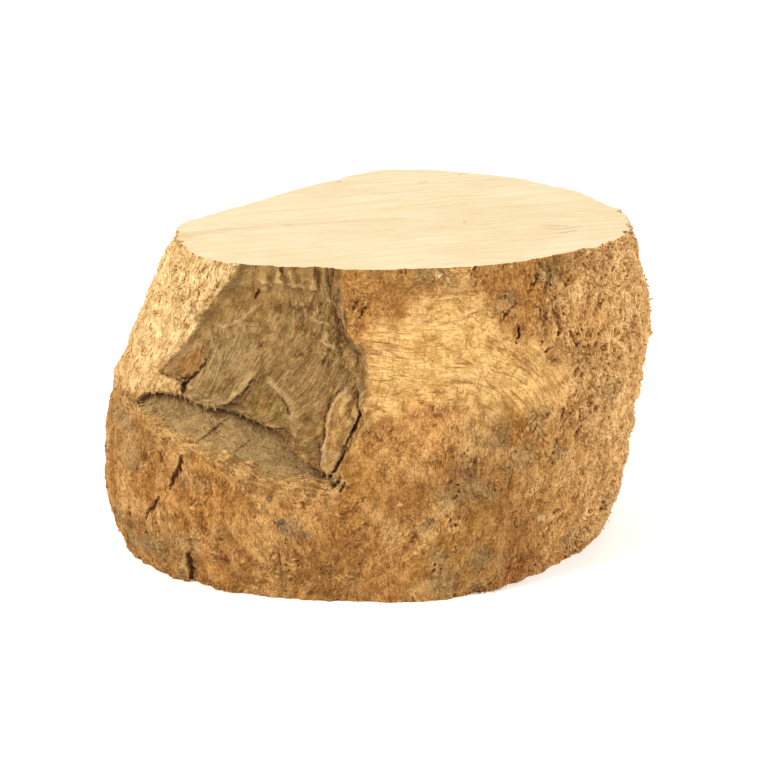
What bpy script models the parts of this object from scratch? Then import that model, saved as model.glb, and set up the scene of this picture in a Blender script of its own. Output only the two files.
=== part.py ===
"""A slice of briar burl: one lump of root wood, sawn flat above and below.

Metres, +Z up. The origin is at the middle of the sawn base. The side with the old split face and
the notch looks along -Y. The lump is one solid, because it grew as one piece.
"""

import math

import bmesh
import bpy
import numpy as np
from mathutils import noise

# The saw cuts
HEIGHT = 0.145
SAW_SPARE = 0.012  # how far the rough burl ran on past each cut

# The rough burl's reach to each side of its axis at four heights, with a cubic curve between them
LEVELS = (0.0, 0.040, 0.090, 0.145)
LEFT_REACH = (0.1210, 0.1272, 0.1152, 0.0900)
RIGHT_REACH = (0.1055, 0.1155, 0.1220, 0.1135)
FRONT_REACH = (0.0885, 0.0945, 0.0880, 0.0710)
BACK_REACH = (0.0800, 0.0980, 0.1040, 0.0970)

# How full each corner of its outline is: 1 is a straight chamfer, 2 an ellipse, 3 nearly a box
FRONT_LEFT_FULLNESS = (2.5, 2.6, 2.8, 3.0)
FRONT_RIGHT_FULLNESS = (1.75, 1.8, 1.8, 1.8)
BACK_RIGHT_FULLNESS = (2.1, 2.1, 2.1, 2.1)
BACK_LEFT_FULLNESS = (1.9, 1.6, 1.3, 1.1)

AXIS_OFFSET = (0.0013, -0.0060)  # puts the middle of the finished slice on the origin

RING_POINTS = 160
RINGS = 48

# Swellings and hollows of the rough burl: where, how wide, and how far out (or in, if negative)
SWELLINGS = (
    ((0.118, -0.015, 0.128), 0.014, -0.0016),
    ((0.122, 0.000, 0.096), 0.014, 0.0027),
    ((0.036, 0.098, 0.136), 0.042, 0.0031),
    ((0.030, -0.086, -0.004), 0.030, 0.0045),
    ((0.120, -0.020, 0.117), 0.006, -0.0022),
    ((0.075, 0.085, 0.050), 0.030, 0.0070),
    ((-0.020, 0.105, 0.095), 0.034, 0.0050),
    ((-0.085, 0.060, 0.040), 0.028, 0.0065),
    ((0.020, 0.100, 0.030), 0.020, -0.0050),
    ((-0.060, 0.085, 0.115), 0.017, -0.0045),
    ((0.105, 0.055, 0.110), 0.020, 0.0040),
    ((-0.035, -0.093, 0.028), 0.024, 0.0022),
    ((-0.082, -0.077, 0.010), 0.007, -0.0030),
    ((-0.066, -0.084, 0.006), 0.012, 0.0022),
)

# The old split face: a steep plane that leans out downwards and turns back at its left end
SPLIT_X, SPLIT_TOP_Y = -0.060, -0.0645
SPLIT_TURN = -0.118  # metres of Y per metre of X
SPLIT_LEAN = 0.154  # metres of Y per metre of height
SPLIT_CURL = 7.3  # per metre, of its curve left of SPLIT_X
SPLIT_OUTLINE = (
    (-0.0760, 0.1600), (-0.0840, 0.1300), (-0.0960, 0.1120), (-0.1090, 0.0920), (-0.1100, 0.0800),
    (-0.1037, 0.0815), (-0.0980, 0.0832), (-0.0930, 0.0843), (-0.0853, 0.0835), (-0.0791, 0.0823),
    (-0.0740, 0.0810), (-0.0687, 0.0803), (-0.0627, 0.0790), (-0.0568, 0.0765), (-0.0505, 0.0743),
    (-0.0425, 0.0705), (-0.0347, 0.0625), (-0.0252, 0.0560), (-0.0190, 0.0530), (-0.0155, 0.068),
    (-0.013, 0.082), (-0.0085, 0.093), (-0.006, 0.101), (-0.0065, 0.110), (-0.013, 0.115),
    (-0.0165, 0.128), (-0.019, 0.137), (-0.019, 0.160),
)
SPLIT_DEPTH = 0.0030  # how far the deepest layer lies behind that plane
SPLIT_WAVE_SIZE, SPLIT_WAVE_HEIGHT = 0.016, 0.0014
RAGGED_SIZE, RAGGED_REACH = 0.0080, 0.0011  # the wandering of its edges and its layers' edges
EDGE_WIDTH = 0.0020  # of the slope at such an edge

# Layers left on the split face: each one's thickness at its foot and at its head, and its outline
LAYERS = (
    ("left chunk", 0.0058, 0.0010, ((-0.112, 0.096), (-0.089, 0.110), (-0.079, 0.118),
                                    (-0.077, 0.108), (-0.083, 0.096), (-0.0865, 0.086),
                                    (-0.090, 0.078), (-0.112, 0.078))),
    ("middle flake", 0.0046, 0.0008, ((-0.084, 0.070), (-0.0845, 0.088), (-0.081, 0.098),
                                      (-0.076, 0.112), (-0.062, 0.124), (-0.052, 0.118),
                                      (-0.0505, 0.104), (-0.0545, 0.0955), (-0.0599, 0.0887),
                                      (-0.0631, 0.086), (-0.0683, 0.084), (-0.072, 0.070))),
    ("right layer", 0.0036, 0.0004, ((-0.052, 0.118), (-0.0497, 0.097), (-0.044, 0.090),
                                     (-0.0383, 0.0845), (-0.0361, 0.0779), (-0.0385, 0.072),
                                     (-0.038, 0.048), (0.010, 0.060), (0.010, 0.118))),
    ("flap", 0.0054, 0.0058, ((-0.0165, 0.090), (-0.0125, 0.096), (-0.0095, 0.091),
                              (-0.0115, 0.081), (-0.0150, 0.071), (-0.0200, 0.050),
                              (-0.0245, 0.060), (-0.0240, 0.068), (-0.0200, 0.078))),
    ("upper slab", 0.0018, 0.0018, ((-0.080, 0.165), (-0.064, 0.137), (-0.052, 0.133),
                                    (-0.0475, 0.135), (-0.0465, 0.165))),
    ("corner slab", 0.0020, 0.0020, ((-0.0445, 0.165), (-0.0440, 0.131), (-0.033, 0.127),
                                     (-0.0285, 0.129), (-0.026, 0.165))),
    ("upright fibres", 0.0012, 0.0016, ((-0.027, 0.165), (-0.028, 0.110), (-0.020, 0.104),
                                        (0.000, 0.104), (0.000, 0.165))),
)

# The notch under the split face, from left to right: the lip above it and the rim below it
NOTCH_LIP = (
    (-0.1120, -0.0520, 0.0800), (-0.1065, -0.0545, 0.0805), (-0.1037, -0.0565, 0.0838),
    (-0.0980, -0.0598, 0.0857), (-0.0930, -0.0640, 0.0868), (-0.0853, -0.0665, 0.0860),
    (-0.0791, -0.0700, 0.0848), (-0.0740, -0.0712, 0.0835), (-0.0687, -0.0722, 0.0828),
    (-0.0627, -0.0725, 0.0815), (-0.0568, -0.0725, 0.0790), (-0.0505, -0.0732, 0.0768),
    (-0.0425, -0.0740, 0.0730), (-0.0347, -0.0772, 0.0650), (-0.0252, -0.0815, 0.0583),
    (-0.0190, -0.0880, 0.0565), (-0.0150, -0.0960, 0.0562),
)
NOTCH_RIM = (
    (-0.1120, -0.0525, 0.0790), (-0.1063, -0.0567, 0.0788), (-0.1033, -0.0614, 0.0773),
    (-0.0985, -0.0672, 0.0742), (-0.0927, -0.0731, 0.0723), (-0.0858, -0.0787, 0.0708),
    (-0.0795, -0.0826, 0.0698), (-0.0738, -0.0858, 0.0672), (-0.0681, -0.0881, 0.0649),
    (-0.0626, -0.0897, 0.0623), (-0.0570, -0.0908, 0.0600), (-0.0502, -0.0915, 0.0580),
    (-0.0425, -0.0921, 0.0564), (-0.0340, -0.0926, 0.0553), (-0.0255, -0.0930, 0.0545),
    (-0.0190, -0.0935, 0.0550), (-0.0150, -0.0970, 0.0556),
)
NOTCH_UNDERCUT = (0.0018, 0.0075, -0.0004)  # from the lip to the deepest line behind it
NOTCH_STEPS = 90
NOTCH_FADE = 0.08  # share of its length over which the undercut and the teeth die out at each end
NOTCH_LEAST_UNDERCUT = 0.4  # share of the undercut that is left at its very ends
NOTCH_REACH = 4.0  # the cut runs on past the surface, in multiples of its own faces
TOOTH_SIZES = (0.0042, 0.0110)  # the torn lip has small teeth between longer ones
TOOTH_LENGTH = 0.0014

# Open cracks, as lines seen from the front, with half their width and their depth
CRACKS = (
    (((-0.0852, 0.0645), (-0.0849, 0.0607), (-0.0873, 0.0550), (-0.0911, 0.0489),
      (-0.0926, 0.0448)), 0.0010, 0.0045),
    (((-0.0961, 0.0430), (-0.0981, 0.0382), (-0.1022, 0.0325), (-0.1055, 0.0259)), 0.0010, 0.0035),
    (((-0.0098, 0.0930), (-0.0094, 0.0890), (-0.0085, 0.0856), (-0.0110, 0.0790),
      (-0.0131, 0.0728), (-0.0166, 0.0649), (-0.0188, 0.0620)), 0.0011, 0.0035),
    (((0.0592, 0.1190), (0.0600, 0.1151), (0.0586, 0.1109)), 0.0012, 0.0040),
    (((-0.0830, 0.026), (-0.0825, 0.013), (-0.0820, -0.004)), 0.0022, 0.0030),
)

# Relief of the weathered outside: broad lumps, knobs, and furrows that lean down the split face
LUMP_SIZE, LUMP_HEIGHT = 0.048, 0.0024
KNOB_SIZE, KNOB_HEIGHT = 0.0125, 0.0019
KNOB_PATCHES = 0.030  # from one patch of strong knobs to the next
KNOB_TALLNESS = 1.33  # height of a knob over its width
FURROW_SIZE, FURROW_LENGTH, FURROW_DEPTH = 0.0042, 0.030, 0.0009
FURROW_LEAN = 0.35

VOXEL = 0.0019
MOST_TRIANGLES = 15500  # before the saw cuts take the ends off
WOOD = (0.56, 0.37, 0.18, 1.0)


def clear_scene():
    for obj in list(bpy.data.objects):
        bpy.data.objects.remove(obj, do_unlink=True)


def through(values):
    """The cubic curve through the values at LEVELS."""
    return np.polynomial.Polynomial.fit(LEVELS, values, 3)


def smooth_step(value, low, high):
    share = np.clip((value - low) / (high - low), 0.0, 1.0)
    return share * share * (3.0 - 2.0 * share)


def noise_at(points, size, seed):
    """Smooth noise, mostly from -1 to 1, with lumps of about this size."""
    scaled = (points / size + seed * 7.31).tolist()
    return 1.6 * np.array([noise.noise(p) for p in scaled])


def knobs_at(points, size, seed):
    """Rounded knobs that meet in creases: 0.5 on top of each, -0.5 where it meets the next."""
    scaled = (points / size + seed * 3.17).tolist()
    nearest = np.array([noise.voronoi(p)[0][:2] for p in scaled])
    return smooth_step(nearest[:, 1] - nearest[:, 0], 0.0, 0.55) - 0.5


def inside_outline(x, z, outline):
    """How far points lie inside a closed outline, negative outside it."""
    corners = np.array(outline)
    nearest = np.full(len(x), np.inf)
    inside = np.zeros(len(x), bool)
    for (x0, z0), (x1, z1) in zip(corners, np.roll(corners, -1, axis=0)):
        along = ((x - x0) * (x1 - x0) + (z - z0) * (z1 - z0)) / ((x1 - x0) ** 2 + (z1 - z0) ** 2)
        along = np.clip(along, 0.0, 1.0)
        nearest = np.minimum(nearest, np.hypot(x - x0 - along * (x1 - x0), z - z0 - along * (z1 - z0)))
        if z0 != z1:
            crossing = x0 + (z - z0) * (x1 - x0) / (z1 - z0)
            inside ^= ((z0 > z) != (z1 > z)) & (x < crossing)
    return np.where(inside, nearest, -nearest)


def line_distance(x, z, line):
    """Distance from an open line seen from the front, and how far along it, from 0 to 1."""
    points = np.array(line)
    nearest, share = np.full(len(x), np.inf), np.zeros(len(x))
    for i, ((x0, z0), (x1, z1)) in enumerate(zip(points, points[1:])):
        along = ((x - x0) * (x1 - x0) + (z - z0) * (z1 - z0)) / ((x1 - x0) ** 2 + (z1 - z0) ** 2)
        along = np.clip(along, 0.0, 1.0)
        away = np.hypot(x - x0 - along * (x1 - x0), z - z0 - along * (z1 - z0))
        share = np.where(away < nearest, (i + along) / (len(points) - 1), share)
        nearest = np.minimum(nearest, away)
    return nearest, share


def closed_object(name, points, faces):
    mesh = bpy.data.meshes.new(name)
    mesh.from_pydata(points, [], faces)
    mesh.validate()
    obj = bpy.data.objects.new(name, mesh)
    bpy.context.scene.collection.objects.link(obj)
    return obj


def skin(rows):
    """Faces that join closed rows of points one above the other, with a lid on each end."""
    count = len(rows[0])
    points = [tuple(p) for row in rows for p in row]
    faces = [tuple(range(count))[::-1]]
    for low in range(0, (len(rows) - 1) * count, count):
        for k in range(count):
            after = (k + 1) % count
            faces.append((low + k, low + after, low + count + after, low + count + k))
    faces.append(tuple(range((len(rows) - 1) * count, len(rows) * count)))
    return points, faces


def ring_at(z):
    """The rough burl's outline at one height, as points round its axis."""
    angles = np.arange(RING_POINTS) * math.tau / RING_POINTS
    east, north = np.cos(angles), np.sin(angles)
    left, front = east < 0, north < 0
    across = np.where(left, through(LEFT_REACH)(z), through(RIGHT_REACH)(z))
    deep = np.where(front, through(FRONT_REACH)(z), through(BACK_REACH)(z))
    front_full = np.where(left, through(FRONT_LEFT_FULLNESS)(z), through(FRONT_RIGHT_FULLNESS)(z))
    back_full = np.where(left, through(BACK_LEFT_FULLNESS)(z), through(BACK_RIGHT_FULLNESS)(z))
    power = 2.0 / np.where(front, front_full, back_full)
    x = across * np.sign(east) * np.abs(east) ** power
    y = deep * np.sign(north) * np.abs(north) ** power
    return np.column_stack([x, y, np.full(RING_POINTS, z)])


def rough_burl():
    """The lump as it came off the root, closed and longer than the slice at both ends."""
    heights = np.linspace(-SAW_SPARE, HEIGHT + SAW_SPARE, RINGS)
    points = np.array([ring_at(z) for z in heights])
    outward = points * (1.0, 1.0, 0.0)
    outward /= np.linalg.norm(outward, axis=2, keepdims=True)
    flat = points.reshape(-1, 3)
    out = LUMP_HEIGHT * noise_at(flat, LUMP_SIZE, 3)
    for centre, width, height in SWELLINGS:
        out += height * np.exp(-((np.linalg.norm(flat - centre, axis=1) / width) ** 2))
    points += outward * out.reshape(RINGS, RING_POINTS, 1)
    return closed_object("burl", *skin(points))


def lines_between(stations, share):
    """Points on the line through the stations, at shares of its length."""
    table = np.array(stations)
    knots = np.linspace(0.0, 1.0, len(table))
    return np.column_stack([np.interp(share, knots, table[:, k]) for k in range(3)])


def notch_cutter():
    """The wedge of wood that is missing under the split face. Its upper side is the torn lip."""
    share = np.linspace(0.0, 1.0, NOTCH_STEPS)
    lip, rim = (lines_between(s, share) for s in (NOTCH_LIP, NOTCH_RIM))
    inner = smooth_step(np.minimum(share, 1.0 - share), 0.0, NOTCH_FADE)
    undercut = NOTCH_LEAST_UNDERCUT + (1.0 - NOTCH_LEAST_UNDERCUT) * inner
    deepest = lip + undercut[:, None] * np.array(NOTCH_UNDERCUT)
    upper = deepest + (lip - deepest) * NOTCH_REACH
    lower = deepest + (rim - deepest) * NOTCH_REACH
    teeth = sum(noise_at(lip, size, 11 + i) for i, size in enumerate(TOOTH_SIZES))
    upper[:, 2] -= TOOTH_LENGTH * teeth * inner
    rows = np.stack([deepest, upper, lower], axis=1)
    cutter = closed_object("notch_cutter", *skin(rows))
    cutter.hide_render = True
    cutter.display_type = "WIRE"
    return cutter


def saw_box():
    """What stays between the two saw cuts."""
    reach = 0.2
    corners = [(-reach, -reach), (reach, -reach), (reach, reach), (-reach, reach)]
    rows = [[(x, y, z) for x, y in corners] for z in (0.0, HEIGHT)]
    box = closed_object("saw_box", *skin(rows))
    box.hide_render = True
    box.display_type = "WIRE"
    return box


def add_boolean(obj, other, operation, folds_over=False):
    cut = obj.modifiers.new(operation.lower(), "BOOLEAN")
    cut.operation = operation
    cut.object = other
    cut.solver = "EXACT"
    cut.use_self = folds_over


def apply_modifiers(obj):
    evaluated = obj.evaluated_get(bpy.context.evaluated_depsgraph_get())
    mesh = bpy.data.meshes.new_from_object(evaluated)
    obj.modifiers.clear()
    obj.data = mesh


def move_points(mesh, points):
    mesh.vertices.foreach_set("co", points.ravel())
    mesh.update()


def drop_loose_chips(mesh):
    """Keeps the biggest body only, since a chip that is cut free would have fallen off."""
    shape = bmesh.new()
    shape.from_mesh(mesh)
    bodies, seen = [], set()
    for start in shape.verts:
        if start in seen:
            continue
        seen.add(start)
        body = [start]
        for vert in body:
            for edge in vert.link_edges:
                other = edge.other_vert(vert)
                if other not in seen:
                    seen.add(other)
                    body.append(other)
        bodies.append(body)
    bodies.sort(key=len)
    loose = [vert for body in bodies[:-1] for vert in body]
    bmesh.ops.delete(shape, geom=loose, context="VERTS")
    shape.to_mesh(mesh)
    shape.free()


def split_face_y(x, z):
    """Where the split face lies, behind the rough burl's own surface."""
    curl = SPLIT_CURL * np.minimum(x - SPLIT_X, 0.0) ** 2
    return SPLIT_TOP_Y + SPLIT_TURN * (x - SPLIT_X) - SPLIT_LEAN * (HEIGHT - z) + curl


def split_back(points):
    """Sets the wood in front of the split face back to it, and leaves its layers standing.
    Returns how much each point belongs to the split face."""
    x, y, z = points.T
    ragged = RAGGED_REACH * noise_at(points, RAGGED_SIZE, 21)
    low, high = -0.4 * EDGE_WIDTH, 0.6 * EDGE_WIDTH
    share = smooth_step(inside_outline(x, z, SPLIT_OUTLINE) + ragged, low, high) * (y < 0.0)
    face_y = split_face_y(x, z) + SPLIT_DEPTH
    face_y += SPLIT_WAVE_HEIGHT * noise_at(points * (1.0, 1.0, 0.45), SPLIT_WAVE_SIZE, 23)
    for _, at_foot, at_head, outline in LAYERS:
        levels = [corner[1] for corner in outline]
        thickness = at_foot + (at_head - at_foot) * smooth_step(z, min(levels), max(levels))
        face_y -= thickness * smooth_step(inside_outline(x, z, outline) + ragged, low, high)
    set_back = np.maximum(face_y - y, 0.0) * share
    points[:, 1] += set_back
    return share * (set_back > 0.0)


def weather(points, normals, split_share):
    """Knobs on the outside of the burl, furrows down the split face, and open cracks."""
    x, y, z = points.T
    knobs = knobs_at(points * (1.0, 1.0, 1.0 / KNOB_TALLNESS), KNOB_SIZE, 31)
    strength = 0.65 + 0.6 * noise_at(points, KNOB_PATCHES, 32)
    out = KNOB_HEIGHT * knobs * strength * (1.0 - split_share)
    lean = points.copy()
    lean[:, 0] += FURROW_LEAN * z
    lean[:, 2] *= FURROW_SIZE / FURROW_LENGTH
    out += FURROW_DEPTH * noise_at(lean, FURROW_SIZE, 33) * split_share
    for line, half_width, depth in CRACKS:
        away, share = line_distance(x, z, line)
        narrowing = 0.35 + 0.65 * np.sin(np.pi * np.clip(share, 0.02, 0.98))
        open_ = 1.0 - smooth_step(away, 0.3 * half_width * narrowing, 1.4 * half_width * narrowing)
        out -= depth * open_ * (y < -0.03)
    points += normals * out[:, None]


def wood_material():
    material = bpy.data.materials.new("briar_wood")
    material.use_nodes = True
    surface = material.node_tree.nodes["Principled BSDF"]
    surface.inputs["Base Color"].default_value = WOOD
    surface.inputs["Roughness"].default_value = 0.85
    surface.inputs["Metallic"].default_value = 0.0
    material.diffuse_color = WOOD
    return material


def build():
    clear_scene()
    burl = rough_burl()
    cutter = notch_cutter()
    add_boolean(burl, cutter, "DIFFERENCE", folds_over=True)
    grain = burl.modifiers.new("grain", "REMESH")
    grain.mode = "VOXEL"
    grain.voxel_size = VOXEL
    apply_modifiers(burl)

    mesh = burl.data
    points = np.array([vert.co for vert in mesh.vertices])
    split_share = split_back(points)
    move_points(mesh, points)
    weather(points, np.array([vert.normal for vert in mesh.vertices]), split_share)
    move_points(mesh, points + (*AXIS_OFFSET, 0.0))

    thin = burl.modifiers.new("thin", "DECIMATE")
    thin.ratio = MOST_TRIANGLES / (2 * len(mesh.polygons))
    add_boolean(burl, saw_box(), "INTERSECT")
    apply_modifiers(burl)
    drop_loose_chips(burl.data)
    burl.data.materials.clear()
    burl.data.materials.append(wood_material())
    burl.data.shade_smooth()
    burl.data.set_sharp_from_angle(angle=math.radians(40))


build()
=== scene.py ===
import math

import bmesh
import bpy
import numpy as np
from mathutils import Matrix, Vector, noise


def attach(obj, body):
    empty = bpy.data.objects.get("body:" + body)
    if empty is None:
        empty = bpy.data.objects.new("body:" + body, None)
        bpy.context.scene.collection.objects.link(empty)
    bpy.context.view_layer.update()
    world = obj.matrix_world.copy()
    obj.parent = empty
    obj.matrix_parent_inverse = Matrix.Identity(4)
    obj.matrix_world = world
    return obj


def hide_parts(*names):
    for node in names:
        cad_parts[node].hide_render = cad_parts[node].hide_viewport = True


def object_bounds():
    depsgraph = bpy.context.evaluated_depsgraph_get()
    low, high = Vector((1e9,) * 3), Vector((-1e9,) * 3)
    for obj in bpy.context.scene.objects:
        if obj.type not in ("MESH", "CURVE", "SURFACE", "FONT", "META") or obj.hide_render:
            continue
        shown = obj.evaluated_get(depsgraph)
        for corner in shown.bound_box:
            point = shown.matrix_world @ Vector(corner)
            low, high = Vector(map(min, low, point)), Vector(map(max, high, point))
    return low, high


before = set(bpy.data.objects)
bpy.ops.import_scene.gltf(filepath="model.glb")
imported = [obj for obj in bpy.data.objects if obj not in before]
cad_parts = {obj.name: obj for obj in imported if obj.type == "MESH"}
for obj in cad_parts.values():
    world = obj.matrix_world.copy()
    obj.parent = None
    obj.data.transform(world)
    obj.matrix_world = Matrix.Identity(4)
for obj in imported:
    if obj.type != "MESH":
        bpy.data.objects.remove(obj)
solid_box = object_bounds()
floor_z = solid_box[0].z
saw_z = solid_box[1].z

# The table and the light tent. The slice stands on white paper, with soft light from all round,
# the strongest from the upper left, and the camera a little above it on its notched side.

scene = bpy.context.scene
scene.view_settings.view_transform = "Standard"

camera = bpy.data.objects.new("camera", bpy.data.cameras.new("camera"))
scene.collection.objects.link(camera)
camera.data.lens = 100
camera.data.sensor_width = 36
looks_at = Vector((0.0013, -0.0060, 0.070))
height_angle, away = math.radians(20), 0.98
camera.location = looks_at + away * Vector((0, -math.cos(height_angle), math.sin(height_angle)))
camera.rotation_euler = (looks_at - camera.location).to_track_quat("-Z", "Y").to_euler()
scene.camera = camera

tent = bpy.data.worlds.new("light_tent")
scene.world = tent
tent.use_nodes = True
tent_nodes = tent.node_tree.nodes
tent_light = tent_nodes["Background"]
tent_light.inputs["Color"].default_value = (1.0, 0.99, 0.97, 1)
tent_light.inputs["Strength"].default_value = 0.46
tent_seen = tent_nodes.new("ShaderNodeBackground")
tent_seen.inputs["Color"].default_value = (1, 1, 1, 1)
tent_either = tent_nodes.new("ShaderNodeMixShader")
tent_ray = tent_nodes.new("ShaderNodeLightPath")
join = tent.node_tree.links.new
join(tent_ray.outputs["Is Camera Ray"], tent_either.inputs[0])
join(tent_light.outputs[0], tent_either.inputs[1])
join(tent_seen.outputs[0], tent_either.inputs[2])
join(tent_either.outputs[0], tent_nodes["World Output"].inputs["Surface"])

for name, place, size, watts in (
    ("lamp_left", (-1.90, -1.00, 1.90), 0.8, 72),
    ("lamp_right", (2.10, -0.60, 1.60), 1.0, 46),
    ("lamp_above", (0.10, 0.60, 2.70), 1.6, 22),
):
    lamp = bpy.data.objects.new(name, bpy.data.lights.new(name, "AREA"))
    lamp.data.size = size
    lamp.data.energy = watts
    lamp.location = place
    lamp.rotation_euler = (looks_at - lamp.location).to_track_quat("-Z", "Y").to_euler()
    scene.collection.objects.link(lamp)

paper_mesh = bpy.data.meshes.new("paper")
paper_edge = 6.0
paper_mesh.from_pydata(
    [(x * paper_edge, y * paper_edge, floor_z) for x, y in ((-1, -1), (1, -1), (1, 1), (-1, 1))],
    [], [(0, 1, 2, 3)],
)
paper = bpy.data.objects.new("paper", paper_mesh)
scene.collection.objects.link(paper)
paper_white = bpy.data.materials.new("paper_white")
paper_white.use_nodes = True
paper_surface = paper_white.node_tree.nodes["Principled BSDF"]
paper_surface.inputs["Base Color"].default_value = (0.80, 0.81, 0.79, 1)
paper_surface.inputs["Roughness"].default_value = 0.95
paper_surface.inputs["Emission Color"].default_value = (1.0, 1.0, 0.95, 1)
paper_surface.inputs["Emission Strength"].default_value = 0.31
paper_mesh.materials.append(paper_white)


# The lump's form. One piece of briar root, grown as a swelling, split and torn at the front,
# and sawn flat above and below. Its fine skin starts from the solid, resampled evenly.

SKIN_STEP = 0.00084
SPARE_PAST_SAW = 0.006
KEPT_PAST_SAW = 0.003
SAME_PLACE = 0.00002


def smooth_step(value, low, high):
    share = np.clip((value - low) / (high - low), 0.0, 1.0)
    return share * share * (3.0 - 2.0 * share)


def noise_at(points, size, seed):
    """Smooth noise, mostly from -1 to 1, with lumps of about this size."""
    scaled = (points / size + seed * 7.31).tolist()
    return 1.6 * np.array([noise.noise(p) for p in scaled])


def cells_at(points, size, seed):
    """Distance to the nearest and second nearest of scattered centres, in units of size."""
    scaled = (points / size + seed * 3.17).tolist()
    return np.array([noise.voronoi(p)[0][:2] for p in scaled]).T


def inside_outline(x, z, outline):
    """How far points lie inside a closed outline, negative outside it."""
    corners = np.array(outline)
    nearest = np.full(len(x), np.inf)
    inside = np.zeros(len(x), bool)
    for (x0, z0), (x1, z1) in zip(corners, np.roll(corners, -1, axis=0)):
        along = ((x - x0) * (x1 - x0) + (z - z0) * (z1 - z0)) / ((x1 - x0) ** 2 + (z1 - z0) ** 2)
        along = np.clip(along, 0.0, 1.0)
        nearest = np.minimum(nearest, np.hypot(x - x0 - along * (x1 - x0), z - z0 - along * (z1 - z0)))
        if z0 != z1:
            crossing = x0 + (z - z0) * (x1 - x0) / (z1 - z0)
            inside ^= ((z0 > z) != (z1 > z)) & (x < crossing)
    return np.where(inside, nearest, -nearest)


def line_distance(x, z, line):
    """Distance from an open line seen from the front, and how far along it, from 0 to 1."""
    points = np.array(line)
    nearest, share = np.full(len(x), np.inf), np.zeros(len(x))
    for i, ((x0, z0), (x1, z1)) in enumerate(zip(points, points[1:])):
        along = ((x - x0) * (x1 - x0) + (z - z0) * (z1 - z0)) / ((x1 - x0) ** 2 + (z1 - z0) ** 2)
        along = np.clip(along, 0.0, 1.0)
        apart = np.hypot(x - x0 - along * (x1 - x0), z - z0 - along * (z1 - z0))
        share = np.where(apart < nearest, (i + along) / (len(points) - 1), share)
        nearest = np.minimum(nearest, apart)
    return nearest, share


def averaged(values, ends, passes, strength):
    """Each value drawn towards its neighbours' mean, again and again."""
    count = len(values)
    touching = np.maximum(np.bincount(ends.ravel(), minlength=count), 1)
    for _ in range(passes):
        total = np.empty_like(values)
        for k in range(values.shape[1]):
            total[:, k] = np.bincount(ends[:, 0], values[ends[:, 1], k], count)
            total[:, k] += np.bincount(ends[:, 1], values[ends[:, 0], k], count)
        values = values + strength * (total / touching[:, None] - values)
    return values


def points_of(mesh, what):
    flat = np.empty(len(mesh.vertices) * 3, np.float32)
    mesh.vertices.foreach_get(what, flat)
    return flat.reshape(-1, 3).astype(float)


shape = bmesh.new()
shape.from_mesh(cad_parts["burl"].data)
bmesh.ops.remove_doubles(shape, verts=shape.verts, dist=SAME_PLACE)
for level, side in ((saw_z, 1), (floor_z, -1)):
    cut_face = [f for f in shape.faces if all(abs(v.co.z - level) < SAME_PLACE for v in f.verts)]
    grown = bmesh.ops.extrude_face_region(shape, geom=cut_face)["geom"]
    for part in grown:
        if isinstance(part, bmesh.types.BMVert):
            part.co.z += side * SPARE_PAST_SAW
skin_mesh = bpy.data.meshes.new("burl_skin")
shape.to_mesh(skin_mesh)
shape.free()
skin = bpy.data.objects.new("burl_skin", skin_mesh)
scene.collection.objects.link(skin)
evenly = skin.modifiers.new("evenly", "REMESH")
evenly.mode = "VOXEL"
evenly.voxel_size = SKIN_STEP
skin.data = bpy.data.meshes.new_from_object(skin.evaluated_get(bpy.context.evaluated_depsgraph_get()))
skin.modifiers.clear()
skin_mesh = skin.data
skin_mesh.materials.clear()

shape = bmesh.new()
shape.from_mesh(skin_mesh)
low, high = floor_z - KEPT_PAST_SAW, saw_z + KEPT_PAST_SAW
spare = [vert for vert in shape.verts if not low < vert.co.z < high]
bmesh.ops.delete(shape, geom=spare, context="VERTS")
shape.to_mesh(skin_mesh)
shape.free()

points = points_of(skin_mesh, "co")
ends = np.empty(len(skin_mesh.edges) * 2, np.int32)
skin_mesh.edges.foreach_get("vertices", ends)
ends = ends.reshape(-1, 2)

# Where things are on the notched side, seen from the front (x and z in metres)
LIP = (
    (-0.1107, 0.0800), (-0.1052, 0.0805), (-0.1024, 0.0838), (-0.0967, 0.0857), (-0.0917, 0.0868),
    (-0.0840, 0.0860), (-0.0778, 0.0848), (-0.0727, 0.0835), (-0.0674, 0.0828), (-0.0614, 0.0815),
    (-0.0555, 0.0790), (-0.0492, 0.0768), (-0.0412, 0.0730), (-0.0334, 0.0650), (-0.0239, 0.0583),
    (-0.0177, 0.0565), (-0.0137, 0.0562),
)
RIM = (
    (-0.1107, 0.0790), (-0.1050, 0.0788), (-0.1020, 0.0773), (-0.0972, 0.0742), (-0.0914, 0.0723),
    (-0.0845, 0.0708), (-0.0782, 0.0698), (-0.0725, 0.0672), (-0.0668, 0.0649), (-0.0613, 0.0623),
    (-0.0557, 0.0600), (-0.0489, 0.0580), (-0.0412, 0.0564), (-0.0327, 0.0553), (-0.0242, 0.0545),
    (-0.0177, 0.0550), (-0.0137, 0.0556),
)
LEDGE = LIP + RIM[::-1]
SPLIT_FACE = (
    (-0.0530, 0.1600), (-0.0600, 0.1400), (-0.0673, 0.1314), (-0.0746, 0.1206), (-0.0810, 0.1100),
    (-0.0935, 0.0958), (-0.0863, 0.0945), (-0.0836, 0.0920), (-0.0834, 0.0858), *LIP[6:16],
    (-0.0140, 0.0680), (-0.0085, 0.0820), (-0.0070, 0.0890), (-0.0040, 0.0960), (-0.0040, 0.1040),
    (-0.0060, 0.1110), (-0.0130, 0.1160), (-0.0150, 0.1290), (-0.0170, 0.1380), (-0.0170, 0.1600),
)
x, y, z = points.T
front = smooth_step(-y, 0.020, 0.035)
back = smooth_step(y, 0.020, 0.035)
split_in = inside_outline(x, z, SPLIT_FACE)
ledge_in = inside_outline(x, z, LEDGE)
torn = smooth_step(np.maximum(split_in, ledge_in), -0.004, 0.004) * front

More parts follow.
